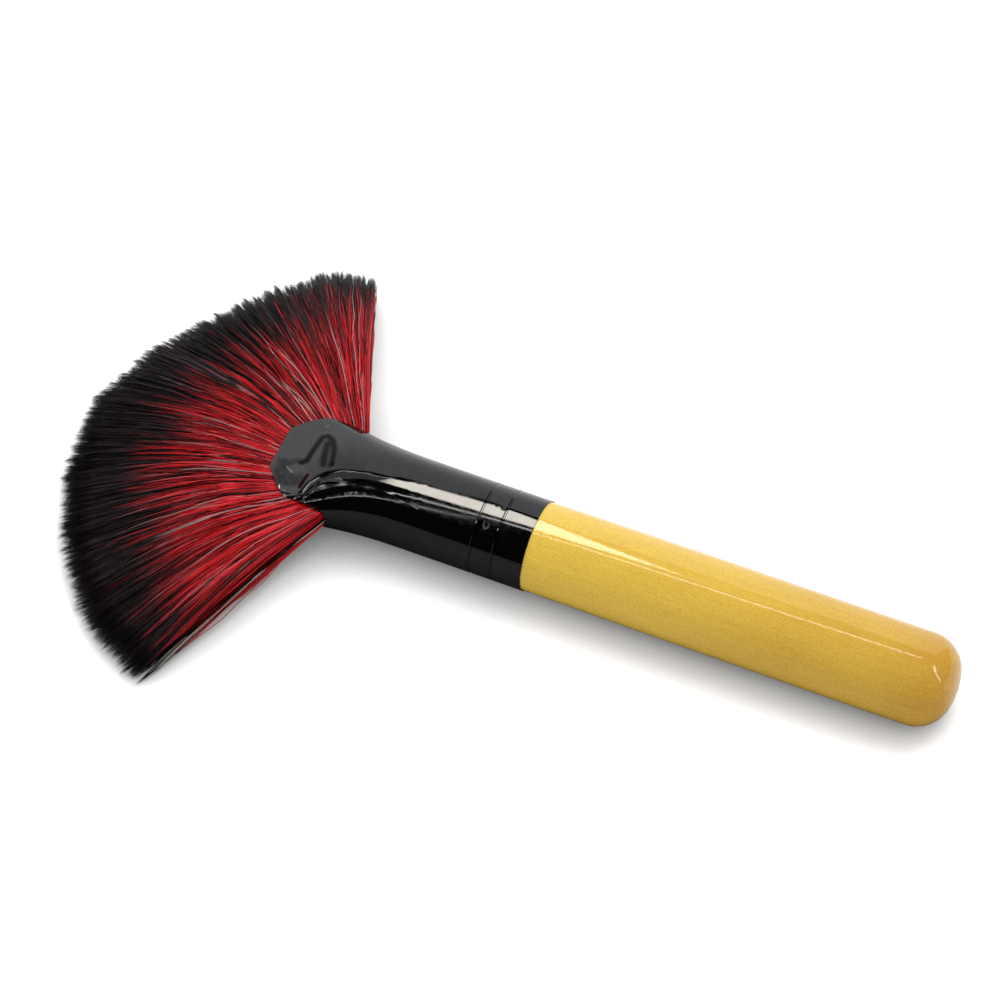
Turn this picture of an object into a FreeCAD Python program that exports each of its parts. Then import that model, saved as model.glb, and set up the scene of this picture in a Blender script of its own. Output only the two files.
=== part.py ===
import FreeCAD, Part
import math
import os

# Fan makeup brush lying on its side: fan towards -X, handle towards +X, floor at Z = 0.
# The origin is on the floor below the middle of the overall length. Millimetres.

# Handle: one turned, lacquered stick that swells slightly towards its end
handle_length = 75.4            # bare wood, from the ferrule's edge to the tip of the end
shoulder_diameter = 15.8        # wood beside the ferrule
grip_diameter = 16.2            # straight stretch near the end
grip_length = 24.0              # length of that straight stretch
end_round = 6.2                 # radius of the rounded rim of the end
end_crown_radius = 13.0         # radius of the slightly domed middle of the end

# Ferrule: drawn aluminium tube, round at the handle and pressed flat at the mouth
ferrule_diameter = 16.2
ferrule_wall = 0.4
barrel_length = 20.0            # round stretch over the handle's tenon
taper_length = 25.0             # stretch where the tube goes from round to flat
press_lag = 1.7                 # above 1, the tube keeps its height longer and falls nearer the mouth
tab_length = 3.2                # flat stretch at the mouth
mouth_height = 6.4              # outside height of the flat mouth
round_side_turn = 50.0          # degrees that a side wall curves up before the top starts: at the barrel
flat_side_turn = 86.0           # and at the mouth, where the top is almost flat
taper_section_count = 8         # stretches between the outlines that the taper passes through
lip_width = 18.4                # the lip seen from above
lip_corner = 5.0                # how far each corner is cut back, along and across
lip_corner_bulge = 0.4          # how far that cut bulges out from a straight one
side_notch_depth = 12.8         # how far the open sides reach in from the tip of the lip
side_notch_height = 5.4         # height of the open sides
crimp_from_wood = 5.5           # middle of the first rolled ring
crimp_spacing = 4.0             # from the first ring to the second
crimp_count = 2
crimp_width = 0.5               # groove that each ring leaves, at the surface
crimp_floor = 0.2               # and at its bottom
crimp_depth = 0.15

# Inside the ferrule
glue_gap = 0.05                 # glue film between the tube and the wood or the plug
hair_gap = 0.2                  # between the hair and the tube
plug_length = 5.0               # disc of resin that holds the roots of the hair

# Tuft: locks of hair that spread from one point inside the mouth
tuft_reach = 36.6               # from the tip of the lip to the trimmed rim of the fan
spread_depth = 16.2             # from the tip of the lip in to the point the locks spread from
fan_half_angle = 67.0           # degrees, from the middle of the fan to its edge
lock_count = 67                 # an odd number, so that one lock lies in the middle
root_depth = 6.0                # from the tip of the lip in to where the flat roots start to swell
root_height = 2.2               # thickness of the hair there
fill_depth = 2.9                # from the tip of the lip in to where the hair fills the mouth
puff_height = 8.2               # greatest thickness, outside the lip
puff_radius = 28.0              # where the hair is thickest, from the point it spreads from
outer_share = 0.6               # how much of the puff is left midway from there to the rim
rim_height = 4.6                # thickness at the rim
droop_power = 1.6               # above 1, the fan leaves the mouth level and droops towards the rim
ridge_height = 0.55             # how far a lock stands out above the valleys beside it
ridge_scatter = 0.5             # share of that by which the ridges differ
tip_length = 2.8                # tapered end of a lock, beside its valleys
ridge_tip_length = 2.2          # and along its ridge
tip_share = 0.3                 # height left at the very tip of a lock
tip_scatter = 1.2               # how unevenly the locks are trimmed
trim_step = 2.4                 # radians from lock to lock in the uneven trim
ridge_step = 1.7                # and in the uneven ridges

# Places that follow from the sizes above
ferrule_length = barrel_length + taper_length + tab_length
overall_length = handle_length + ferrule_length + tuft_reach
end_x = overall_length / 2
wood_edge_x = end_x - handle_length
taper_start_x = wood_edge_x - barrel_length
tab_start_x = taper_start_x - taper_length
lip_x = tab_start_x - tab_length
fan_centre_x = lip_x + spread_depth
notch_round_x = lip_x + side_notch_depth - side_notch_height / 2
plug_back_x = taper_start_x + plug_length
ferrule_radius = ferrule_diameter / 2
bore_radius = ferrule_radius - ferrule_wall
tenon_radius = bore_radius - glue_gap
grip_radius = grip_diameter / 2
axis_z = max(grip_radius, ferrule_radius)
hair_inset = ferrule_wall + hair_gap
fan_radius = spread_depth + tuft_reach
crimp_places = [wood_edge_x - crimp_from_wood - i * crimp_spacing for i in range(crimp_count)]


def on_axis(x, radius):
    """Point of a turned profile: x along the brush, radius above its axis."""
    return FreeCAD.Vector(x, 0, axis_z + radius)


def line(start, end):
    return Part.LineSegment(start, end).toShape()


def arc(start, middle, end):
    return Part.Arc(start, middle, end).toShape()


def turn(edges):
    """Solid turned about the axis of the brush from a closed profile."""
    profile = Part.Face(Part.Wire(edges))
    return profile.revolve(on_axis(0, 0), FreeCAD.Vector(1, 0, 0), 360)


def crimped_run(radius):
    """Edges of a round wall from the wood edge to the end of the barrel, dipping at each ring."""
    points = [on_axis(wood_edge_x, radius)]
    for place in crimp_places:
        points.append(on_axis(place + crimp_width / 2, radius))
        points.append(on_axis(place + crimp_floor / 2, radius - crimp_depth))
        points.append(on_axis(place - crimp_floor / 2, radius - crimp_depth))
        points.append(on_axis(place - crimp_width / 2, radius))
    edges = [line(start, end) for start, end in zip(points, points[1:])]
    return edges, points[-1]


def make_handle():
    # The crown's circle touches the rounded rim's circle from outside, so the end has no crease
    crown_centre_x = end_x - end_crown_radius
    rim_centre_r = grip_radius - end_round
    reach = end_crown_radius - end_round
    rim_centre_x = crown_centre_x + math.sqrt(reach ** 2 - rim_centre_r ** 2)
    lean = math.atan2(rim_centre_r, rim_centre_x - crown_centre_x)
    half_lean = lean / 2
    middle_lean = (lean + math.pi / 2) / 2
    touch = on_axis(crown_centre_x + end_crown_radius * math.cos(lean), end_crown_radius * math.sin(lean))
    crown_middle = on_axis(crown_centre_x + end_crown_radius * math.cos(half_lean),
                           end_crown_radius * math.sin(half_lean))
    rim_middle = on_axis(rim_centre_x + end_round * math.cos(middle_lean),
                         rim_centre_r + end_round * math.sin(middle_lean))
    rim_start = on_axis(rim_centre_x, grip_radius)
    tip = on_axis(end_x, 0)

    # The wood swells along a flat curve that ends level with the straight grip
    shoulder_radius = shoulder_diameter / 2
    shoulder = on_axis(wood_edge_x, shoulder_radius)
    grip_start_x = rim_centre_x - grip_length
    swell_radius = grip_radius - (grip_radius - shoulder_radius) / 4
    swell_middle = on_axis((wood_edge_x + grip_start_x) / 2, swell_radius)
    grip_start = on_axis(grip_start_x, grip_radius)

    tenon_edges, last = crimped_run(tenon_radius)
    tenon_end = on_axis(plug_back_x, tenon_radius)
    tenon_middle = on_axis(plug_back_x, 0)
    edges = [line(shoulder, on_axis(wood_edge_x, tenon_radius))] + tenon_edges
    edges += [line(last, tenon_end), line(tenon_end, tenon_middle), line(tenon_middle, tip)]
    edges += [arc(tip, crown_middle, touch), arc(touch, rim_middle, rim_start)]
    edges += [line(rim_start, grip_start), arc(grip_start, swell_middle, shoulder)]
    return turn(edges)


def tube_section(x):
    """Side radius, offset of its centre and side turn of the pressed tube at x.

    The section is an oval of four arcs that meet smoothly: two small ones at the sides and two
    large ones above and below. Pressing keeps the length of the sheet, so the oval is as long
    round as the tube was, and that and its height settle the radius and the offset.
    """
    share = min(max((taper_start_x - x) / taper_length, 0), 1)
    pressed = (1 - math.cos(math.pi * share ** press_lag)) / 2
    drop = (ferrule_radius - mouth_height / 2) * pressed
    turn_up = math.radians(round_side_turn + (flat_side_turn - round_side_turn) * share)
    rise = (1 - math.sin(turn_up)) / math.cos(turn_up)
    spread = (math.pi / 2 - turn_up) / math.cos(turn_up)
    offset = math.pi / 2 * drop / (spread - rise * math.pi / 2)
    return ferrule_radius - drop - rise * offset, offset, turn_up


def tube_outline(x, inset):
    """Closed outline of the pressed tube at x, drawn in by inset all round."""
    side_radius, offset, turn_up = tube_section(x)
    radius = side_radius - inset
    crown_radius = radius + offset / math.cos(turn_up)
    crown = crown_radius - offset * math.tan(turn_up)
    corner_y = offset + radius * math.cos(turn_up)
    corner_z = radius * math.sin(turn_up)

    def at(y, z):
        return FreeCAD.Vector(x, y, axis_z + z)

    edges = [arc(at(-corner_y, corner_z), at(0, crown), at(corner_y, corner_z))]
    edges.append(arc(at(corner_y, corner_z), at(offset + radius, 0), at(corner_y, -corner_z)))
    edges.append(arc(at(corner_y, -corner_z), at(0, -crown), at(-corner_y, -corner_z)))
    edges.append(arc(at(-corner_y, -corner_z), at(-offset - radius, 0), at(-corner_y, corner_z)))
    return Part.Wire(edges)


def tube_loft(start_x, finish_x, inset, steps):
    """Solid that follows the tube's outline from one place to another."""
    spacing = (finish_x - start_x) / steps
    outlines = [tube_outline(start_x + i * spacing, inset) for i in range(steps + 1)]
    return Part.makeLoft(outlines, True)


def make_barrel():
    outer_edges, outer_last = crimped_run(ferrule_radius)
    inner_edges, inner_last = crimped_run(bore_radius)
    outer_end = on_axis(taper_start_x, ferrule_radius)
    inner_end = on_axis(taper_start_x, bore_radius)
    edges = outer_edges + [line(outer_last, outer_end), line(outer_end, inner_end)]
    edges += [line(inner_last, inner_end)] + inner_edges
    edges.append(line(on_axis(wood_edge_x, bore_radius), on_axis(wood_edge_x, ferrule_radius)))
    return turn(Part.__sortEdges__(edges))


def make_lip_trimmer():
    """What is cut away round the lip, seen from above: all but a tongue with cut corners."""
    half_width = lip_width / 2
    bulge = lip_corner_bulge * math.sqrt(0.5)
    root_left = FreeCAD.Vector(notch_round_x, half_width, 0)
    side_left = FreeCAD.Vector(lip_x + lip_corner, half_width, 0)
    corner_left = FreeCAD.Vector(lip_x + lip_corner / 2 - bulge, half_width - lip_corner / 2 + bulge, 0)
    tip_left = FreeCAD.Vector(lip_x, half_width - lip_corner, 0)
    mirror = [FreeCAD.Vector(p.x, -p.y, 0) for p in (root_left, side_left, corner_left, tip_left)]
    root_right, side_right, corner_right, tip_right = mirror
    edges = [line(root_left, side_left), arc(side_left, corner_left, tip_left), line(tip_left, tip_right)]
    edges += [arc(tip_right, corner_right, side_right), line(side_right, root_right)]
    edges.append(line(root_right, root_left))
    tongue = Part.Face(Part.Wire(edges)).extrude(FreeCAD.Vector(0, 0, 2 * axis_z))
    width = 4 * ferrule_radius
    margin = 1.0
    corner = FreeCAD.Vector(lip_x - margin, -width / 2, 0)
    block = Part.makeBox(notch_round_x - lip_x + margin, width, 2 * axis_z, corner)
    return block.cut(tongue)


def make_side_notch():
    """Cutter for the open sides: a slot across the mouth with a round inner end."""
    width = 4 * ferrule_radius
    half = side_notch_height / 2
    start = FreeCAD.Vector(notch_round_x, -width / 2, axis_z)
    round_end = Part.makeCylinder(half, width, start, FreeCAD.Vector(0, 1, 0))
    length = notch_round_x - lip_x + half
    corner = FreeCAD.Vector(notch_round_x - length, -width / 2, axis_z - half)
    return Part.makeBox(length, width, side_notch_height, corner).fuse(round_end)


def make_ferrule():
    outside = tube_loft(taper_start_x, tab_start_x, 0, taper_section_count)
    inside = tube_loft(taper_start_x, tab_start_x, ferrule_wall, taper_section_count)
    tab_outside = tube_loft(tab_start_x, lip_x, 0, 1)
    tab_inside = tube_loft(tab_start_x, lip_x, ferrule_wall, 1)
    tube = make_barrel().fuse([outside.cut(inside), tab_outside.cut(tab_inside)])
    return tube.cut([make_side_notch(), make_lip_trimmer()])


def make_glue_plug():
    start = on_axis(taper_start_x, 0)
    return Part.makeCylinder(tenon_radius, plug_length, start, FreeCAD.Vector(1, 0, 0))


def hair_ray(angle, relief, neck):
    """Top and bottom points along one line of the fan, from the mouth out to the neck.

    Relief is how far this line lies below the ridges once it is outside the lip.
    """
    past_lip = spread_depth + hair_gap
    mouth_half = min(side_notch_height, mouth_height - 2 * ferrule_wall) / 2 - hair_gap
    outer = (puff_radius + neck) / 2
    outer_height = outer_share * puff_height + (1 - outer_share) * rim_height
    rows = [(spread_depth - root_depth, root_height / 2), (spread_depth - fill_depth, mouth_half)]
    rows += [(past_lip, mouth_half), (puff_radius, puff_height / 2 - relief)]
    rows += [(outer, outer_height / 2 - relief), (neck, rim_height / 2 - relief)]
    points = []
    for distance, half_height in rows:
        fallen = max(distance - past_lip, 0) / (neck - past_lip)
        middle_z = axis_z + (rim_height / 2 - axis_z) * fallen ** droop_power
        x = fan_centre_x - distance * math.cos(angle)
        y = distance * math.sin(angle)
        top = FreeCAD.Vector(x, y, middle_z + half_height)
        bottom = FreeCAD.Vector(x, y, middle_z - half_height)
        points.append((top, bottom))
    return points


def flat_face(*corners):
    return Part.Face(Part.makePolygon(list(corners) + [corners[0]]))


def strip(ray, next_ray):
    """Faces of the top and the bottom of the hair between two neighbouring lines."""
    faces = []
    for row in range(len(ray) - 1):
        for level in (0, 1):
            near, near_next = ray[row][level], next_ray[row][level]
            far, far_next = ray[row + 1][level], next_ray[row + 1][level]
            faces.append(flat_face(near, near_next, far))
            faces.append(flat_face(near_next, far_next, far))
    return faces


def lock_tip(left, middle, right, angle, distance):
    """Pointed end of a lock, from its neck to an upright edge on the rim of the fan."""
    x = fan_centre_x - distance * math.cos(angle)
    y = distance * math.sin(angle)
    middle_z = (middle[0].z + middle[1].z) / 2
    half = (middle[0].z - middle[1].z) / 2 * tip_share
    tip = [FreeCAD.Vector(x, y, middle_z + half), FreeCAD.Vector(x, y, middle_z - half)]
    faces = []
    for side in (left, right):
        faces.append(flat_face(side[0], tip[0], tip[1], side[1]))
        for level in (0, 1):
            faces.append(flat_face(side[level], middle[level], tip[level]))
    return faces


def make_fan():
    """Spread part of the hair: each lock is a ridge between two valleys, with a tip of its own."""
    pitch = math.radians(2 * fan_half_angle / lock_count)
    side_locks = lock_count // 2
    valleys = []
    for number in range(-side_locks, side_locks + 2):
        angle = (number - 0.5) * pitch
        valleys.append(hair_ray(angle, ridge_height, fan_radius - tip_length))
    faces = []
    rays = [valleys[0]]
    for index, number in enumerate(range(-side_locks, side_locks + 1)):
        angle = number * pitch
        tip_distance = fan_radius - tip_scatter * (1 - math.cos(trim_step * number)) / 2
        relief = ridge_scatter * ridge_height * (1 - math.cos(ridge_step * number)) / 2
        ridge = hair_ray(angle, relief, tip_distance - ridge_tip_length)
        left, right = valleys[index], valleys[index + 1]
        faces += strip(left, ridge) + strip(ridge, right)
        faces += lock_tip(left[-1], ridge[-1], right[-1], angle, tip_distance)
        rays += [ridge, right]

    # The locks meet in one flat wedge inside the mouth, and the outer locks have flat sides
    roots = []
    for level, half in ((0, root_height / 2), (1, -root_height / 2)):
        root = FreeCAD.Vector(fan_centre_x, 0, axis_z + half)
        faces.append(flat_face(root, *[ray[0][level] for ray in rays]))
        roots.append(root)
    for edge in (valleys[0], valleys[-1]):
        tops = [point[0] for point in edge]
        bottoms = [point[1] for point in reversed(edge)]
        faces.append(flat_face(roots[0], *tops, *bottoms, roots[1]))
    shell = Part.makeShell(faces)
    shell.sewShape()
    return Part.makeSolid(shell)


def make_tuft():
    shank = tube_loft(taper_start_x, notch_round_x, hair_inset, taper_section_count)
    return shank.fuse(make_fan())


def write_step(shape, node):
    solids = shape.Solids
    body = solids[0] if len(solids) == 1 else Part.makeCompound(solids)
    body.exportStep("parts/" + node + ".step")


os.makedirs("parts", exist_ok=True)
write_step(make_handle(), "handle")
write_step(make_ferrule(), "ferrule")
write_step(make_glue_plug(), "glue_plug")
write_step(make_tuft(), "bristle_tuft")
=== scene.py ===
import bpy
import math
import numpy as np
from mathutils import Matrix, Vector


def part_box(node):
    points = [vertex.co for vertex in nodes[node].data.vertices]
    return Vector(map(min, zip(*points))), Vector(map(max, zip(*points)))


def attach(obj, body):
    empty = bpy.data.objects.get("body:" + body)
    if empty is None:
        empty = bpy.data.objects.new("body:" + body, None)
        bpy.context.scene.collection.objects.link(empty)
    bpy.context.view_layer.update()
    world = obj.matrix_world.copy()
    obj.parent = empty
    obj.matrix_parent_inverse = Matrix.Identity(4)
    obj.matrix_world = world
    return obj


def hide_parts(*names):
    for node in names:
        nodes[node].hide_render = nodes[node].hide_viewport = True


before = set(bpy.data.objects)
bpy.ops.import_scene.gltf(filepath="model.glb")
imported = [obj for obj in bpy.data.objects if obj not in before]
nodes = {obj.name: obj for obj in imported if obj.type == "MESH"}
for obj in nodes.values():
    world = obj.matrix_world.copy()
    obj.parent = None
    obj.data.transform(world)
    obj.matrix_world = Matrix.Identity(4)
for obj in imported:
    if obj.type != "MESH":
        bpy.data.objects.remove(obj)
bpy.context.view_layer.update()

# Handle: one turned stick of pale yellow wood with a fine straight grain, dipped in a thick
# clear lacquer that pooled slightly unevenly, so that the long highlight on it is broken.
mm = 0.001


class Link:
    """One output in a material's node tree. Arithmetic on links adds Math nodes."""

    def __init__(self, socket):
        self.socket = socket
        self.tree = socket.id_data

    @classmethod
    def node(cls, tree, kind, settings=None, inputs=None):
        """Adds a node, its settings first and then its sockets, and returns its outputs by name."""
        made = tree.nodes.new("ShaderNode" + kind)
        for name, value in (settings or {}).items():
            if name == "stops":
                cls.set_stops(made.color_ramp, value)
            else:
                setattr(made, name, value)
        for name, value in (inputs or {}).items():
            if isinstance(name, int):
                socket = made.inputs[name]
            else:
                socket = next(s for s in made.inputs if s.name == name and s.enabled)
            if isinstance(value, Link):
                tree.links.new(value.socket, socket)
            else:
                socket.default_value = value
        return {s.name: cls(s) for s in made.outputs if s.enabled}

    @staticmethod
    def set_stops(ramp, stops):
        while len(ramp.elements) < len(stops):
            ramp.elements.new(0.5)
        for element, (place, colour) in zip(ramp.elements, stops):
            element.position = place
            element.color = (*colour, 1)

    def math(self, operation, first, second):
        made = self.tree.nodes.new("ShaderNodeMath")
        made.operation = operation
        for socket, value in zip(made.inputs, (first, second)):
            if isinstance(value, Link):
                self.tree.links.new(value.socket, socket)
            else:
                socket.default_value = value
        return Link(made.outputs[0])

    def __add__(self, other):
        return self.math("ADD", self, other)

    def __radd__(self, other):
        return self.math("ADD", other, self)

    def __sub__(self, other):
        return self.math("SUBTRACT", self, other)

    def __rsub__(self, other):
        return self.math("SUBTRACT", other, self)

    def __mul__(self, other):
        return self.math("MULTIPLY", self, other)

    def __rmul__(self, other):
        return self.math("MULTIPLY", other, self)

    def __pow__(self, power):
        return self.math("POWER", self, power)

    def smooth(self, low, high):
        """0 below low, 1 above high and an even curve between them."""
        settings = {"interpolation_type": "SMOOTHSTEP"}
        return self.node(self.tree, "MapRange", settings,
                         {"Value": self, "From Min": low, "From Max": high})["Result"]

    def tint(self, start, finish):
        """The colour start where this link is 0, and finish where it is 1."""
        return self.node(self.tree, "Mix", {"data_type": "RGBA"},
                         {"Factor": self, "A": start, "B": finish})["Result"]


def new_finish(name, shader):
    """A material with one Principled shader, whose tree and shader are given back too."""
    material = bpy.data.materials.new(name)
    material.use_nodes = True
    principled = material.node_tree.nodes["Principled BSDF"]
    for socket, value in shader.items():
        principled.inputs[socket].default_value = value
    return material, material.node_tree, principled


def connect(tree, link, principled, socket):
    tree.links.new(link.socket, principled.inputs[socket])


def stretched(tree, scale):
    """Object coordinates in millimetres, scaled apart along each axis."""
    place = Link.node(tree, "TexCoord")["Object"]
    size = [1000 * part for part in scale]
    return Link.node(tree, "Mapping", None, {"Vector": place, "Scale": size})["Vector"]


def noise(tree, vector, scale, detail=2.0, roughness=0.5):
    inputs = {"Vector": vector, "Scale": scale, "Detail": detail, "Roughness": roughness}
    return Link.node(tree, "TexNoise", None, inputs)["Fac"]


def bump(tree, height, distance):
    """Normal of a surface that rises by distance where height is 1."""
    return Link.node(tree, "Bump", None, {"Height": height, "Distance": distance, "Strength": 1.0})["Normal"]


pale_wood = (0.95, 0.665, 0.101, 1)
deep_wood = (0.54, 0.275, 0.039, 1)
pore_wood = (0.46, 0.26, 0.032, 1)
handle_end = 80.0
dome_start = 64.0
lacquer_ripple = 0.013 * mm
wood, tree, shader = new_finish("lacquered_wood", {"Specular IOR Level": 0.33})
broad = noise(tree, stretched(tree, (0.035, 0.14, 0.14)), 1.0, 3.0)
streak = noise(tree, stretched(tree, (0.10, 1.5, 1.5)), 1.0, 4.0, 0.6)
fleck = noise(tree, stretched(tree, (2.6, 4.2, 4.2)), 1.0, 3.0, 0.75)
along_handle = Link.node(tree, "SeparateXYZ", None, {"Vector": stretched(tree, (1, 1, 1))})["X"]
darker_grain_and_shade = 0.12 * broad.smooth(0.3, 0.7) + 0.10 * streak.smooth(0.3, 0.7) + 0.26 * fleck.smooth(0.35, 0.65)
# Painted shade: the wood is painted darker along the handle towards its end, and darker still over the domed
# end.
darker_grain_and_shade = darker_grain_and_shade + 0.40 * along_handle.smooth(0.0, handle_end)
darker_grain_and_shade = darker_grain_and_shade + 0.28 * along_handle.smooth(dome_start, handle_end)
grain_and_shade = darker_grain_and_shade.tint(pale_wood, deep_wood)
pores = fleck.smooth(0.57, 0.68) * 0.30
connect(tree, pores.tint(grain_and_shade, pore_wood), shader, "Base Color")
pooled = noise(tree, stretched(tree, (0.28, 0.5, 0.5)), 1.0, 2.0)
peel = noise(tree, stretched(tree, (0.9, 1.6, 1.6)), 1.0, 2.0)
connect(tree, bump(tree, pooled + 0.5 * peel, lacquer_ripple), shader, "Normal")
connect(tree, 0.03 + 0.06 * fleck.smooth(0.40, 0.62), shader, "Roughness")
nodes["handle"].data.materials[0] = wood

# Ferrule: one drawn aluminium tube in gloss black, pressed flat at the hair, with two rolled
# rings that grip the wood. It has shallow folds at the lip and shallow dents by the rings.
lip_low, lip_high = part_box("ferrule")
axis_height = (lip_low.z + lip_high.z) / 2
ring_radius = (lip_high.z - lip_low.z) / 2
tube_black = [(0.034, 0.034, 0.035, 1), (0.050, 0.050, 0.051, 1)]
lip_black_painted_paler = [(0.048, 0.048, 0.049, 1), (0.070, 0.070, 0.071, 1)]
slit_red = (0.018, 0.0012, 0.003, 1)
painted_glint_grey = (0.15, 0.147, 0.14, 1)


def dent(tree, middle, radius):
    """1 in the middle of a round dent and 0 at its edge."""
    here = Link.node(tree, "TexCoord")["Object"]
    inputs = {"Vector": here, "Location": middle, "Scale": (radius, radius, radius)}
    inside = Link.node(tree, "Mapping", {"vector_type": "TEXTURE"}, inputs)["Vector"]
    reach = Link.node(tree, "VectorMath", {"operation": "LENGTH"}, {"Vector": inside})["Value"]
    return 1 - reach.smooth(0.0, 1.0)


def stroke(tree, place, points, full, gone):
    """1 up to full millimetres from a bent line through points, and 0 from gone on."""
    nearest = None
    for start, end in zip(points, points[1:]):
        start, run = Vector(start), Vector(end) - Vector(start)
        offset = Link.node(tree, "VectorMath", {"operation": "SUBTRACT"}, {0: place, 1: start})["Vector"]
        inputs = {0: offset, 1: run / run.length_squared}
        passed = Link.node(tree, "VectorMath", {"operation": "DOT_PRODUCT"}, inputs)["Value"]
        passed = passed.math("MAXIMUM", passed, 0.0)
        passed = passed.math("MINIMUM", passed, 1.0)
        foot = Link.node(tree, "VectorMath", {"operation": "SCALE"}, {0: run, "Scale": passed})["Vector"]
        gap = Link.node(tree, "VectorMath", {"operation": "DISTANCE"}, {0: offset, 1: foot})["Value"]
        nearest = gap if nearest is None else gap.math("MINIMUM", gap, nearest)
    return 1 - nearest.smooth(full, gone)


black, tree, shader = new_finish("gloss_black_metal", {"Metallic": 1.0})
place = stretched(tree, (1, 1, 1))
scuff = noise(tree, place, 0.7, 3.0)
connect(tree, 0.04 + 0.04 * scuff.smooth(0.35, 0.75), shader, "Roughness")
# A fold like a hook crosses the flat of the mouth, and its edge turns into the near side. The dark
# reflections of the fold, a crease and a dip by it are painted in as darker colour. Every line is given by
# its points in millimetres
hook_line = [(-38.6, -1.9, 11.4), (-37.93, -1.3, 11.57), (-37.84, 1.07, 11.59), (-37.65, 3.24, 11.57),
             (-37.5, 4.4, 11.52), (-36.8, 4.9, 11.65), (-35.4, 4.0, 12.18), (-34.2, 1.97, 12.8),
             (-33.4, -0.34, 13.2), (-33.2, -1.6, 13.2)]
inner_line = [(-34.6, -1.6, 12.6), (-35.3, 0.27, 12.35), (-35.8, 2.36, 12.16), (-36.0, 3.2, 12.0)]
crease_line = [(-42.4, -2.9, 11.2), (-40.5, -2.45, 11.27), (-39.3, -1.6, 11.34), (-38.2, -1.4, 11.53)]
dip_line = [(-41.2, -4.4, 11.2), (-40.6, -6.2, 11.1), (-38.0, -5.6, 11.5)]
edge_line = [(-35.3, -8.6, 11.3), (-34.8, -7.5, 11.8), (-34.2, -6.2, 12.2), (-33.4, -5.4, 12.6),
             (-32.2, -4.9, 13.1), (-30.4, -4.7, 13.7)]
slit_line = [(-36.45, -4.2, 11.8), (-36.6, -5.35, 11.65), (-36.75, -6.8, 11.44)]
painted_glint_lines = [[(-40.6, -3.6, 11.24), (-39.9, -4.0, 11.27), (-39.3, -4.3, 11.3)],
               [(-39.0, -8.3, 10.98), (-39.1, -7.8, 10.98)],
               [(-37.3, -7.3, 11.28), (-37.5, -7.0, 11.28)],
               [(-37.9, 7.1, 11.3), (-37.8, 7.4, 11.2)]]
uneven = noise(tree, place, 0.9, 3.0).smooth(0.3, 0.7)
# Painted shade: the colour is taken towards black along the hook, its inner edge, the crease and the dip, for
# their dark reflections.
free_of_painted_fold_shade = 1 - 0.82 * stroke(tree, place, hook_line, 0.15, 0.95)
free_of_painted_fold_shade = free_of_painted_fold_shade * (1 - 0.76 * stroke(tree, place, inner_line, 0.2, 1.1))
free_of_painted_fold_shade = free_of_painted_fold_shade * (1 - 0.60 * stroke(tree, place, crease_line, 0.1, 1.1) * (0.4 + 0.6 * uneven))
free_of_painted_fold_shade = free_of_painted_fold_shade * (1 - 0.66 * stroke(tree, place, dip_line, 0.6, 2.1) * (0.55 + 0.45 * uneven))
# Painted highlights: small bright glints on the dented lip are painted in pale grey.
painted_glint = 0.0
for painted_glint_line in painted_glint_lines:
    painted_glint = painted_glint + stroke(tree, place, painted_glint_line, 0.0, 0.30)

# Painted reflection: the flat of the lip is painted a little paler than the rest of the tube, for the
# brighter reflection it shows
on_lip = 1 - Link.node(tree, "SeparateXYZ", None, {"Vector": place})["X"].smooth(-36.0, -30.0)
paint_and_painted_light = on_lip.tint(scuff.tint(*tube_black), scuff.tint(*lip_black_painted_paler))
paint_and_painted_light = free_of_painted_fold_shade.tint((0, 0, 0, 1), paint_and_painted_light)
paint_and_painted_light = stroke(tree, place, slit_line, 0.15, 0.5).tint(paint_and_painted_light, slit_red)
paint_and_painted_light = (painted_glint * uneven).tint(paint_and_painted_light, painted_glint_grey)
connect(tree, paint_and_painted_light, shader, "Base Color")

# Dents by the rings: millimetres from the wood, degrees round the tube and radius in millimetres
ring_dents = [(-3.8, 122, 1.3), (-2.1, 93, 1.4), (-2.4, 62, 1.1)]
pressed_in = 0.03 * stroke(tree, place, hook_line, 0.0, 0.7) - 0.05 * stroke(tree, place, edge_line, 0.0, 0.5)
for along, turn, radius in ring_dents:
    across = ring_radius * math.cos(math.radians(turn))
    up = axis_height + ring_radius * math.sin(math.radians(turn))
    pressed_in = pressed_in + 0.014 * dent(tree, (along * mm, across, up), radius * mm)
connect(tree, bump(tree, 0.0008 * scuff - pressed_in, 1 * mm), shader, "Normal")
nodes["ferrule"].data.materials[0] = black

# Glue plug: a disc of clear amber resin poured round the roots of the hair, inside the tube.
resin, tree, shader = new_finish("amber_resin", {"Roughness": 0.3})
cloud = noise(tree, stretched(tree, (1, 1, 1)), 0.5, 3.0)
connect(tree, cloud.tint((0.42, 0.24, 0.06, 1), (0.60, 0.40, 0.14, 1)), shader, "Base Color")
connect(tree, bump(tree, cloud, 0.1 * mm), shader, "Normal")
nodes["glue_plug"].data.materials[0] = resin

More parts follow.
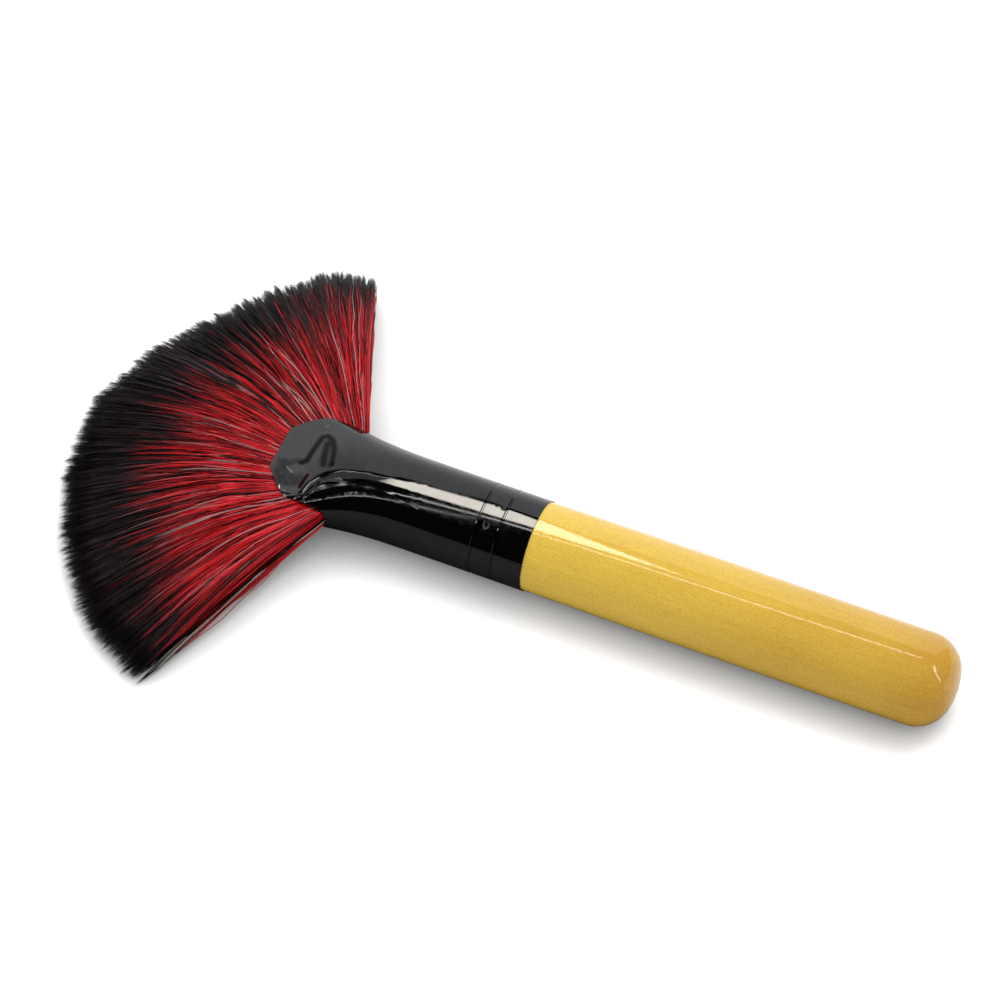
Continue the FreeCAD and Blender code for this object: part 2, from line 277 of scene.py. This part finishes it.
# Hair: thousands of soft synthetic fibres, red with dyed black tips, that spread from one
# point inside the mouth into a fan. They cling in strands, and the strands in pointed locks.
fan_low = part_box("bristle_tuft")[0]
spread_depth = 16.2 * mm
centre_x = lip_low.x + spread_depth
fan_radius = centre_x - fan_low.x
fan_half_angle = math.radians(67)
rim_height = 4.6 * mm
root_distance = 6.5 * mm
past_lip = 16.4 * mm
hair_distances = np.array([6.5, 10.2, 13.3, 16.4, 21, 28, 39, 50, 54]) * mm
hair_half_heights = np.array([1.0, 1.5, 2.4, 2.5, 3.35, 4.1, 3.4, 2.3, 1.5]) * mm
rim_angles = np.radians([-67, -60, -45, -32, -20, -6, 1, 6, 10, 17, 21, 27, 34, 39, 47, 51, 57, 62, 67])
rim_extras = np.array([0.5, 1.0, 1.2, 0.7, 1.0, 1.6, 2.0, 1.9, 0.4, 0.5,
                       -0.6, -1.5, -2.4, -1.6, -0.9, -1.2, 1.4, 0.0, -2.6]) * mm
far_flare = math.radians(0.8)
strand_count = 4300
fibres_per_strand = 4
fibre_width = 0.2 * mm
bulk_pieces = 5
lock_count = 150
lock_layers = 3
lock_pitch = 2 * fan_half_angle / lock_count
random = np.random.default_rng(11)


def fan_path(angle, depth, distance):
    """Points of the fan, given by angle from its middle, depth from -1 to 1, and distance."""
    half_height = np.interp(distance, hair_distances, hair_half_heights)
    fallen = np.clip((distance - past_lip) / (fan_radius - past_lip), 0, 1.1)
    middle = axis_height + (rim_height / 2 - axis_height) * fallen ** 1.6
    angle = angle + far_flare * fallen ** 2 * np.clip(angle / fan_half_angle, 0, 1) ** 8
    x = centre_x - distance * np.cos(angle)
    y = distance * np.sin(angle)
    z = np.maximum(middle + depth * half_height, 0.12 * mm)
    return np.stack([x, y, z], axis=-1)


def wave(amount, turns, share):
    """One sideways wave for each fibre, with its own size, number of turns and start."""
    start = random.uniform(0, 2 * math.pi, len(amount))
    return amount[:, None] * np.sin(start[:, None] + 2 * math.pi * turns[:, None] * share)


# The dye ends at a ragged line, nearer the tips on the far side of the fan
dye_angles = np.radians([-67, -45, -21, 9, 36, 57, 67])
dye_widths = np.array([8.5, 12.5, 15.5, 14.8, 12.6, 7.8, 4.5]) * mm
dye_place = 0.6
black_shade = 0.985
# Painted light: each strand's shade is shifted by its angle round the fan, lighter towards both sides and
# darker in the middle, as the light falls on it.
painted_light_angles = np.radians([-67, -50, -25, 0, 15, 40, 67])
painted_light_shifts = np.array([0.03, 0.13, 0.08, -0.04, -0.04, 0.04, 0.14])


def dye_along(angle, scatter, tip_distance, share):
    """Place along each fibre, stretched so that the dye starts at dye_place on all of them."""
    dyed = np.clip(np.interp(angle, dye_angles, dye_widths) + scatter, 0.8 * mm, 34 * mm)
    start = (1 - dyed / (tip_distance - root_distance))[:, None]
    start = np.clip(start, 0.1, 0.99)
    return np.where(share < start, dye_place * share / start,
                    dye_place + (1 - dye_place) * (share - start) / (1 - start))


# The colour of a fibre is read along its Strand map: across for its shade, up for the dye
hair, tree, shader = new_finish("dyed_fibre", {"Roughness": 0.42, "Specular IOR Level": 0.22})
strand_map = Link.node(tree, "UVMap", {"uv_map": "Strand"})["UV"]
axes = Link.node(tree, "SeparateXYZ", None, {"Vector": strand_map})
# The pink and pale grey stops from 0.85 to 0.90 are painted sheen, the highlights along raised strands.
reds = [(0.0, (0.005, 0.0015, 0.002)), (0.11, (0.011, 0.0015, 0.0025)), (0.21, (0.13, 0.002, 0.005)),
        (0.34, (0.42, 0.004, 0.009)), (0.50, (0.76, 0.007, 0.015)), (0.79, (0.92, 0.010, 0.021)),
        (0.85, (0.86, 0.06, 0.08)), (0.90, (0.62, 0.43, 0.43)), (0.93, (0.66, 0.60, 0.50)),
        (0.955, (0.60, 0.54, 0.45)), (0.97, (0.03, 0.028, 0.03)), (0.99, (0.004, 0.004, 0.0045))]
red = Link.node(tree, "ValToRGB", {"stops": reds}, {"Fac": axes["X"]})["Color"]
cloudy = Link.node(tree, "Mapping", None, {"Vector": strand_map, "Scale": (90, 7, 1)})["Vector"]
mottle = 0.62 + 0.5 * noise(tree, cloudy, 1.0, 2.0).smooth(0.3, 0.7)
multiply = {"data_type": "RGBA", "blend_type": "MULTIPLY"}
red = Link.node(tree, "Mix", multiply, {"Factor": 1.0, "A": red, "B": mottle})["Result"]
tip_black = (axes["X"] ** 3).tint((0.0030, 0.0015, 0.0023, 1), (0.062, 0.040, 0.047, 1))
dye = axes["Y"].smooth(dye_place - 0.18, dye_place + 0.06)
connect(tree, dye.tint(red, tip_black), shader, "Base Color")


def fibre_piece(name, line, share, width, shade, along):
    """One piece of fibres: tapered three-sided tubes, closed at the root and pointed at the tip."""
    amount, ring_count = len(line), line.shape[1] - 1
    heading = np.gradient(line, axis=1)
    heading /= np.linalg.norm(heading, axis=2, keepdims=True)
    across = np.cross(heading, (0, 0, 1))
    across /= np.linalg.norm(across, axis=2, keepdims=True)
    above = np.cross(across, heading)
    thickness = width[:, None] / 2 * (1 - 0.55 * share ** 3)
    turned = random.uniform(0, 2 * math.pi, amount)
    corners = []
    for number in range(3):
        around = (turned + number * 2 * math.pi / 3)[:, None, None]
        corners.append(line + thickness[:, :, None] * (np.cos(around) * across + np.sin(around) * above))
    rings = np.stack(corners, axis=2)[:, :-1]
    points = np.concatenate([rings.reshape(amount, -1, 3), line[:, -1:]], axis=1)
    faces = []
    for ring in range(ring_count - 1):
        for number in range(3):
            following = (number + 1) % 3
            first, next_ring = 3 * ring, 3 * ring + 3
            faces.append([first + number, first + following, next_ring + following, next_ring + number])
    last, tip = 3 * (ring_count - 1), 3 * ring_count
    faces += [[last, last + 1, tip], [last + 1, last + 2, tip], [last + 2, last, tip], [2, 1, 0]]
    corner_list = np.array([corner for face in faces for corner in face])
    counts = np.tile([len(face) for face in faces], amount)
    loops = (np.arange(amount)[:, None] * points.shape[1] + corner_list).ravel()
    mesh = bpy.data.meshes.new(name)
    mesh.vertices.add(points.shape[1] * amount)
    mesh.vertices.foreach_set("co", points.astype(np.float32).ravel())
    mesh.loops.add(len(loops))
    mesh.loops.foreach_set("vertex_index", loops.astype(np.int32))
    mesh.polygons.add(len(counts))
    mesh.polygons.foreach_set("loop_start", np.concatenate([[0], np.cumsum(counts)[:-1]]).astype(np.int32))
    mesh.polygons.foreach_set("use_smooth", np.ones(len(counts), bool))
    u = shade[:, None] + 0.006 * (corner_list % 3 - 1)
    v = along[:, np.minimum(corner_list // 3, ring_count)]
    strand_uv = np.stack([u, v], axis=-1).astype(np.float32).ravel()
    for uv_name in ("Strand", "OFBake"):
        mesh.uv_layers.new(name=uv_name).data.foreach_set("uv", strand_uv)
    mesh.materials.append(hair)
    mesh.update(calc_edges=True)
    piece = bpy.data.objects.new(name, mesh)
    bpy.context.scene.collection.objects.link(piece)
    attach(piece, "root")
    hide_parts("bristle_tuft")


# Locks stand side by side round the rim in three layers
layer_shift = 0.5 * (np.arange(lock_layers) % 2)
lock_angle = (np.arange(lock_count)[:, None] + 0.5 + layer_shift) * lock_pitch - fan_half_angle
lock_angle = lock_angle + random.normal(0, 0.25 * lock_pitch, lock_angle.shape)
lock_depth = np.linspace(-0.72, 0.72, lock_layers) + random.normal(0, 0.1, lock_angle.shape)
lock_reach = random.normal(0, 0.4 * mm, lock_angle.shape)
lock_dip = random.normal(0, 0.8 * mm, lock_angle.shape)

# Strands start anywhere in the mouth, denser towards the outside, and lean to their lock
strand_angle = np.sort(random.uniform(-1, 1, strand_count)) * fan_half_angle
side = random.choice([-1, 1], strand_count, p=[0.4, 0.6])
strand_depth = side * random.uniform(0, 1, strand_count) ** 0.5
layer = np.clip(((strand_depth + 1) / 2 * lock_layers).astype(int), 0, lock_layers - 1)
spot = (strand_angle + fan_half_angle) / lock_pitch - 0.5 - 0.5 * (layer % 2)
lock = np.clip(np.round(spot + random.normal(0, 0.25, strand_count)).astype(int), 0, lock_count - 1)
strand_shade = 0.86 * random.uniform(0.0, 1.0, strand_count) ** 1.1
# Painted light: the shade is shifted by the strand's angle round the fan.
strand_shade = strand_shade + np.interp(strand_angle, painted_light_angles, painted_light_shifts)
# A narrow streak of black strands shows on the far half
in_streak = (strand_angle > math.radians(16.6)) & (strand_angle < math.radians(19.8)) & (strand_depth > 0.1)
strand_shade = np.where(in_streak & (random.uniform(0, 1, strand_count) < 0.75), black_shade, strand_shade)

owner = np.repeat(np.arange(strand_count), fibres_per_strand)
fibre_count = len(owner)
share = np.array([0, 0.2, 0.38, 0.56, 0.74, 0.9, 1.0])[None, :]
pull = share ** 2.2
to_lock = 0.55 * (lock_angle[lock, layer] - strand_angle)[owner, None] * pull
to_layer = 0.25 * (lock_depth[lock, layer] - strand_depth)[owner, None] * pull
off_angle = random.normal(0, math.radians(0.30), fibre_count)[:, None]
off_depth = random.normal(0, 0.045, fibre_count)[:, None]
loose = 1 - 0.5 * share ** 0.9
sway = random.normal(0, math.radians(0.32), strand_count)
strand_wave = wave(sway, random.uniform(1.0, 2.4, strand_count), share)
sway = random.normal(0, math.radians(0.14), fibre_count)
fibre_wave = wave(sway, random.uniform(1.5, 2.8, fibre_count), share)
rise = wave(random.normal(0, 0.05, strand_count), random.uniform(1.0, 2.4, strand_count), share)
angle = strand_angle[owner, None] + to_lock + off_angle * loose + strand_wave[owner] + fibre_wave
depth = np.clip(strand_depth[owner, None] + to_layer + off_depth * loose + rise[owner], -1.04, 1.06)

# Each lock ends in a point, and the outer layers are trimmed a little shorter than the middle
from_middle = np.abs(angle[:, -1] - lock_angle[lock, layer][owner]) / lock_pitch
tip_distance = fan_radius + np.interp(angle[:, -1], rim_angles, rim_extras) + lock_reach[lock, layer][owner]
tip_distance -= 1.1 * mm * np.minimum(from_middle, 1.6) ** 1.3 + 1.2 * mm * np.abs(depth[:, -1]) ** 3
tip_distance -= np.minimum(random.exponential(0.4 * mm, fibre_count), 5 * mm)
distance = root_distance + share * (tip_distance - root_distance)[:, None]
line = fan_path(angle, depth, distance)
strand_scatter = random.normal(0, 3.5 * mm, strand_count) * (1 + 0.5 * np.clip(strand_angle, 0, 1))
scatter = lock_dip[lock, layer][owner] + strand_scatter[owner]
scatter = scatter + random.normal(0, 1.0 * mm, fibre_count)
along = dye_along(angle[:, -1], scatter, tip_distance, share)
red_shade = np.clip(strand_shade[owner] + random.normal(0, 0.19, fibre_count), 0.01, 0.852)
shade = np.where(strand_shade[owner] > 0.95, black_shade, red_shade)
width = fibre_width * random.uniform(0.75, 1.15, fibre_count)
for number, part in enumerate(np.array_split(np.arange(fibre_count), bulk_pieces), start=1):
    fibre_piece("hair_%d" % number, line[part], share, width[part], shade[part], along[part])

# Crimped strands lie loose on the outside of the fan, many of them darker than it, and some pale pink-grey,
# which is painted sheen
crimped_count = 640
per_crimp = 2
owner = np.repeat(np.arange(crimped_count), per_crimp)
fibre_count = len(owner)
share = np.linspace(0, 1, 15)[None, :]
crimp_angle = random.uniform(-1, 1, crimped_count) * fan_half_angle
crimp_side = random.choice([-1, 1], crimped_count, p=[0.25, 0.75])
crimp_depth = crimp_side * random.uniform(0.9, 1.07, crimped_count)
crimp_reach = random.uniform(0.45, 0.97, crimped_count)
kinds = random.choice([0, 1, 2], crimped_count, p=[0.15, 0.33, 0.52])
painted_sheen_kind = random.uniform(0.865, 0.905, crimped_count)
dark_kind = random.uniform(0.0, 0.12, crimped_count)
red_kind = random.uniform(0.6, 0.76, crimped_count)
crimp_shade = np.choose(kinds, [painted_sheen_kind, dark_kind, red_kind])
pale_lock = slice(0, 3)
crimp_angle[pale_lock] = math.radians(30.5) + random.normal(0, math.radians(0.8), 3)
crimp_depth[pale_lock] = 1.05
crimp_reach[pale_lock] = 0.42
crimp_shade[pale_lock] = 0.91
stray_near, stray_far = slice(3, 5), slice(5, 6)
stray_shade = 0.94
crimp_angle[stray_near] = -fan_half_angle - random.uniform(0.005, 0.03, 2)
crimp_angle[stray_far] = fan_half_angle + random.uniform(0.0, 0.02, 1)
for strays in (stray_near, stray_far):
    crimp_depth[strays] = random.uniform(-0.5, 0.6, len(crimp_depth[strays]))
    crimp_reach[strays] = random.uniform(0.9, 1.0, len(crimp_depth[strays]))
    crimp_shade[strays] = stray_shade
tip_distance = root_distance + crimp_reach * (fan_radius - root_distance)
distance = root_distance + share * (tip_distance - root_distance)[:, None]
crimp_size = random.uniform(0.08, 0.22, crimped_count) * mm
bend = wave(crimp_size, crimp_reach * random.uniform(2.0, 4.2, crimped_count), share)
curve_size = random.uniform(0.2, 0.6, crimped_count) * mm
bend = bend + wave(curve_size, random.uniform(0.4, 1.2, crimped_count), share)
off_side = random.normal(0, 0.09 * mm, fibre_count)[:, None]
sideways = (bend[owner] + off_side * share) * np.minimum(share * 3, 1)
angle = crimp_angle[owner, None] + sideways / distance[owner]
depth = crimp_depth[owner, None] + random.normal(0, 0.02, fibre_count)[:, None]
line = fan_path(angle, depth, distance[owner])
scatter = random.normal(0, 4.0 * mm, crimped_count)[owner]
along = dye_along(angle[:, -1], scatter, np.full(fibre_count, fan_radius), share * crimp_reach[owner, None])
pale = (crimp_shade[owner] > 0.92) & (crimp_shade[owner] < 0.96)
along = np.where(pale[:, None], 0.4 * share, along)
width = fibre_width * random.uniform(0.45, 0.7, fibre_count)
shade = crimp_shade[owner] + random.uniform(-0.004, 0.004, fibre_count)
fibre_piece("hair_crimped", line, share, width, shade, along)

# Studio: a white floor under a soft lamp, the camera above the near side, and glowing strips
# and a pale panel round the far side that only the gloss of the lacquer shows.
axis_point = Vector((lip_high.x, 0, axis_height))
for item in bpy.context.selected_objects:
    item.select_set(False)
bpy.ops.mesh.primitive_plane_add(size=6, location=(0, 0, 0))
floor = bpy.context.object
floor.name = "floor"
paper = bpy.data.materials.new("white_paper")
paper.use_nodes = True
tree = paper.node_tree
tree.nodes.clear()
ray = Link.node(tree, "LightPath")
shadow_reach = 17 * mm
hidden = Link.node(tree, "AmbientOcclusion", {"samples": 8}, {"Distance": shadow_reach})["AO"]
across_floor = Link.node(tree, "SeparateXYZ", None, {"Vector": Link.node(tree, "TexCoord")["Object"]})["Y"]
# Painted shade: the floor's colour and glow are darkened by ambient occlusion near the brush. Painted
# reflection: as seen in gloss, the floor is painted darker on the near side and given extra glow on the far
# side.
in_ferrule = ray["Is Glossy Ray"] * (1 - across_floor.smooth(-6 * mm, 6 * mm))
floor_colour_with_painted_shade = (1 - 0.6 * in_ferrule) * 0.93 * hidden ** 1.3
painted_far_glow = ray["Is Glossy Ray"] * across_floor.smooth(-6 * mm, 6 * mm)
camera_glow_with_painted_light = (ray["Is Camera Ray"] + 0.3 * painted_far_glow) * 0.82 * hidden
matt = Link.node(tree, "BsdfDiffuse", None, {"Color": floor_colour_with_painted_shade})["BSDF"]
glow = Link.node(tree, "Emission", None, {"Strength": camera_glow_with_painted_light})["Emission"]
both = tree.nodes.new("ShaderNodeAddShader")
tree.links.new(matt.socket, both.inputs[0])
tree.links.new(glow.socket, both.inputs[1])
out = tree.nodes.new("ShaderNodeOutputMaterial")
tree.links.new(both.outputs[0], out.inputs["Surface"])
floor.data.materials.append(paper)

world = bpy.data.worlds.new("studio")
bpy.context.scene.world = world
world.use_nodes = True
tree = world.node_tree
ray = Link.node(tree, "LightPath")
camera_ray, glossy_ray = ray["Is Camera Ray"], ray["Is Glossy Ray"]
ambient = 0.575
in_gloss = 0.03
strength = camera_ray + glossy_ray * in_gloss + (1 - camera_ray - glossy_ray) * ambient
background = tree.nodes["Background"]
background.inputs["Color"].default_value = (1, 1, 1, 1)
tree.links.new(strength.socket, background.inputs["Strength"])

lamp_place = axis_point + Vector((0.12, 0.27, 0.76))
lamp_data = bpy.data.lights.new("lamp", "AREA")
lamp_data.shape = "RECTANGLE"
lamp_data.size = 0.5
lamp_data.size_y = 0.5
lamp_data.energy = 3.9
lamp_data.color = (1, 0.99, 0.975)
lamp = bpy.data.objects.new("lamp", lamp_data)
bpy.context.scene.collection.objects.link(lamp)
lamp_turn = (axis_point - lamp_place).to_track_quat("-Z", "Y").to_matrix().to_4x4()
lamp.matrix_world = Matrix.Translation(lamp_place) @ lamp_turn
lamp.visible_glossy = False

strip_reach = 800


def band(line):
    """The two edges of a band, from its places, middle angles and widths in degrees."""
    return [(along, turn + width / 2) for along, turn, width in line], [
        (along, turn - width / 2) for along, turn, width in line]


def gloss_strip(name, first_edge, second_edge, glow, colour, fade=None, reach=strip_reach):
    """A glowing sheet between two edges that only the gloss of the brush shows. Points are given
    in millimetres along the brush from the wood and degrees round its axis from the far side."""
    corners = []
    for along, turn in (*first_edge, *second_edge):
        turn = math.radians(turn)
        out = Vector((along, reach * math.cos(turn), reach * math.sin(turn)))
        corners.append(axis_point + out * mm)
    count = len(first_edge)
    faces = [[n, n + 1, count + n + 1, count + n] for n in range(count - 1)]
    mesh = bpy.data.meshes.new(name)
    mesh.from_pydata(corners, [], faces)
    panel = bpy.data.objects.new(name, mesh)
    bpy.context.scene.collection.objects.link(panel)
    panel.visible_camera = False
    panel.visible_diffuse = False
    panel.visible_shadow = False
    panel.visible_transmission = False
    material = bpy.data.materials.new(name)
    material.use_nodes = True
    tree = material.node_tree
    tree.nodes.clear()
    strength = glow
    if fade:
        along = Link.node(tree, "SeparateXYZ", None, {"Vector": Link.node(tree, "TexCoord")["Object"]})["X"]
        strength = glow * (fade[2] + (1 - fade[2]) * along.smooth(fade[0] * mm, fade[1] * mm))
    made = Link.node(tree, "Emission", None, {"Strength": strength, "Color": colour})["Emission"]
    output = tree.nodes.new("ShaderNodeOutputMaterial")
    tree.links.new(made.socket, output.inputs["Surface"])
    mesh.materials.append(material)


sky_line = [(400, 50), (-33, 56), (-113, 62), (-176, 56), (-190, 55), (-198, 58), (-207, 62), (-213, 64.5),
            (-220, 67), (-259, 71.5), (-351, 76.5), (-499, 73.5), (-692, 67), (-870, 59), (-947, 54),
            (-1000, 51)]
gloss_strip("back_panel", sky_line, [(along, -8) for along, turn in sky_line], 1.36, (0.96, 0.98, 1, 1),
            (-750, -450, 0.78))
box_sides = [(-130, 76, 76.5), (-137, 74, 78.5), (-144, 72, 79.5), (-153, 70.5, 80.5), (-162, 69, 82),
             (-169, 67, 83.5), (-176, 65, 84), (-186, 63, 86.5), (-196, 63.5, 89.5), (-208, 67.5, 92),
             (-220, 72.5, 95.5), (-237, 77, 97.5), (-266, 80, 98), (-320, 83, 96), (-400, 86, 93.5),
             (-430, 86, 92)]
low_side = [(along, low) for along, low, high in box_sides]
high_side = [(along, high) for along, low, high in box_sides]
gloss_strip("soft_box", low_side, high_side, 16.5, (1, 0.94, 0.83, 1), (-410, -270, 0.03))
haze_line = [(-320, 83), (-354, 83.2), (-430, 82.1), (-539, 77.1), (-620, 74.6), (-716, 69.9), (-867, 62),
             (-939, 58.5)]
haze_width = 11
high_side = [(along, turn + haze_width) for along, turn in haze_line]
gloss_strip("soft_haze", haze_line, high_side, 0.75, (0.97, 0.98, 1, 1))
upper_line = [(-300, 82, 1.5), (-354, 83.2, 1.2), (-430, 82.1, 1.0), (-539, 77.1, 1.0), (-620, 74.6, 1.0),
              (-716, 69.9, 1.0), (-867, 62, 1.0), (-939, 58.5, 1.0)]
gloss_strip("upper_tube", *band(upper_line), 9.0, (0.97, 0.98, 1, 1))
near_line = [(10, 74, 3), (-33, 77.5, 3), (-69, 82, 3), (-113, 86.2, 3), (-153, 90, 3), (-176, 92.5, 3),
             (-189, 96, 3), (-196, 98, 2.8), (-206, 103, 3), (-220, 108.5, 3.2), (-236, 114, 2.8),
             (-270, 116, 2), (-332, 113, 1.2), (-445, 103.8, 0.8), (-639, 89.9, 0.8),
             (-794, 77.2, 0.8), (-900, 68, 0.8)]
gloss_strip("near_tube", *band(near_line), 11.0, (1, 0.98, 0.94, 1))
nearer_line = [(-200, 108, 2), (-207, 116, 2.6), (-213, 120, 3), (-221, 125.5, 3.6), (-231, 131, 3.6),
               (-246, 136.3, 3), (-264, 134.5, 2), (-296, 128, 1.3), (-335, 123, 0.8)]
gloss_strip("nearer_tube", *band(nearer_line), 6.0, (0.97, 0.98, 1, 1))
end_line = [(262, 80, 6), (309, 85, 7), (504, 93, 8), (1223, 109, 13)]
gloss_strip("end_tube", *band(end_line), 13.0, (1, 0.98, 0.94, 1), reach=300)

camera_turn = math.radians(22.83)
camera_lift = math.radians(53.36)
camera_roll = math.radians(0.32)
camera_reach = 0.675
camera_focal = 3.954
back = Vector((math.sin(camera_turn) * math.cos(camera_lift),
               -math.cos(camera_turn) * math.cos(camera_lift), math.sin(camera_lift)))
right = (-back).cross(Vector((0, 0, 1))).normalized()
up = right.cross(-back)
target = axis_point + Vector((-7.09 * mm, 0, 0)) + 5.61 * mm * up
rolled_right = right * math.cos(camera_roll) + up * math.sin(camera_roll)
rolled_up = up * math.cos(camera_roll) - right * math.sin(camera_roll)
camera_data = bpy.data.cameras.new("camera")
camera_data.sensor_width = 36
camera_data.lens = camera_focal * camera_data.sensor_width
camera = bpy.data.objects.new("camera", camera_data)
bpy.context.scene.collection.objects.link(camera)
turn = Matrix((rolled_right, rolled_up, back)).transposed().to_4x4()
camera.matrix_world = Matrix.Translation(target + back * camera_reach) @ turn
bpy.context.scene.camera = camera
bpy.context.scene.view_settings.view_transform = "Standard"
